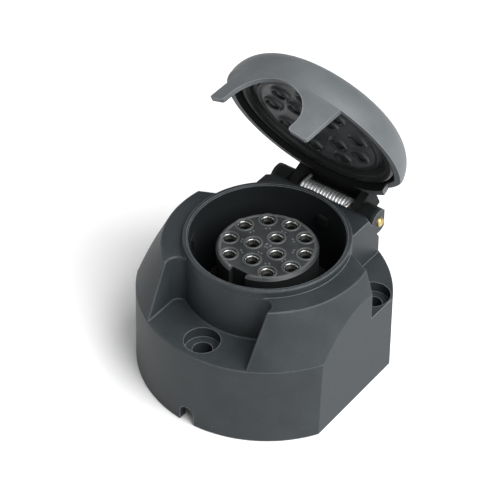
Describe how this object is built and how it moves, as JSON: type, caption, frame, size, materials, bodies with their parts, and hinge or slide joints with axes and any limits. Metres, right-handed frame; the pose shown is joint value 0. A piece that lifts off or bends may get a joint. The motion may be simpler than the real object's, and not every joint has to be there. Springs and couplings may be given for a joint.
{
  "type": "trailer wiring connector",
  "caption": "Round surface-mount trailer socket with a keyed contact carrier inside a collared mouth and a spring-hinged, sealed dome lid standing open.",
  "frame": {"origin": "midway between the two side screw holes, on the flat mounting face", "axes": "+Z out of the mouth, parallel to the mouth axis, which stands 13.7 mm from the origin towards -Y; -Y towards the key slot and the front screw; +Y towards the hinge; X along the hinge pin, with the pin's free end at +X"},
  "size_m": [0.0674, 0.0806, 0.0953],
  "materials": {
    "housing_plastic": "fine moulded grain, satin",
    "lid_plastic": "fine moulded grain, satin",
    "insert_plastic": "smooth moulded",
    "contact_metal": "nickel plated",
    "screw_steel": "zinc plated",
    "seal_rubber": "smooth",
    "lid_seal_rubber": "smooth",
    "pin_brass": "drawn",
    "spring_steel": "bright drawn wire"
  },
  "bodies": {
    "base": {"housing": "housing_plastic", "contact_insert": "insert_plastic", "contact_01": "contact_metal", "contact_02": "contact_metal", "contact_03": "contact_metal", "contact_04": "contact_metal", "contact_05": "contact_metal", "contact_06": "contact_metal", "contact_07": "contact_metal", "contact_08": "contact_metal", "contact_09": "contact_metal", "contact_10": "contact_metal", "contact_11": "contact_metal", "contact_12": "contact_metal", "contact_13": "contact_metal", "terminal_screws": "screw_steel", "contact_retainer": "insert_plastic", "retainer_screws": "screw_steel", "mouth_seal": "seal_rubber", "hinge_pin": "pin_brass", "lid_spring": "spring_steel"},
    "cover": {"lid": "lid_plastic", "lid_seal": "lid_seal_rubber"}
  },
  "joints": [
    {"name": "lid_hinge", "type": "hinge", "parent": "base", "child": "cover", "pos_m": [0, 0.0165, 0.0381], "axis": [-1, 0, 0], "range_deg": [-64.4, 35.6]}
  ]
}
